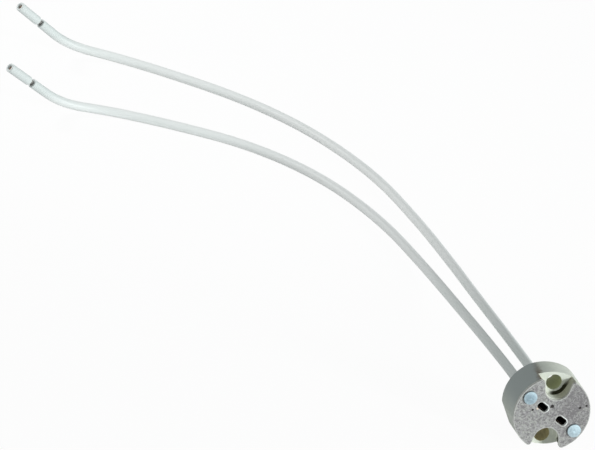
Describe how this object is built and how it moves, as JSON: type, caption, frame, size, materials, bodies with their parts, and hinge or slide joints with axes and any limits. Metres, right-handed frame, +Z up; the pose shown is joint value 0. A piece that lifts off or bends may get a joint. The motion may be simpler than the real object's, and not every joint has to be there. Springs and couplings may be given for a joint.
{
  "type": "halogen lamp socket",
  "caption": "Round ceramic socket for a low-voltage halogen pin lamp, with a riveted mica cover, spring contacts, screw pockets open to the rim and insulated leads from the back.",
  "frame": {"origin": "at floor level, under the middle of the socket without its leads", "axes": "+Z up, -Y out of the lamp side along the socket's axis, +Y out of the back where the leads leave, +X to the right as seen from the lamp side"},
  "size_m": [0.0899, 0.2051, 0.0167],
  "materials": {
    "ceramic": "unglazed, smooth",
    "mica": "pressed mica sheet, satin",
    "rivet_metal": "satin",
    "contact_metal": "rolled spring strip",
    "insulation": "silicone, satin",
    "copper": "stranded wire"
  },
  "bodies": {
    "root": {"ceramic_body": "ceramic", "mica_cover": "mica", "cover_rivets": "rivet_metal", "contact_right": "contact_metal", "contact_left": "contact_metal", "insulation_right": "insulation", "insulation_left": "insulation", "stripped_end_right": "insulation", "stripped_end_left": "insulation", "conductor_right": "copper", "conductor_left": "copper"}
  },
  "joints": []
}
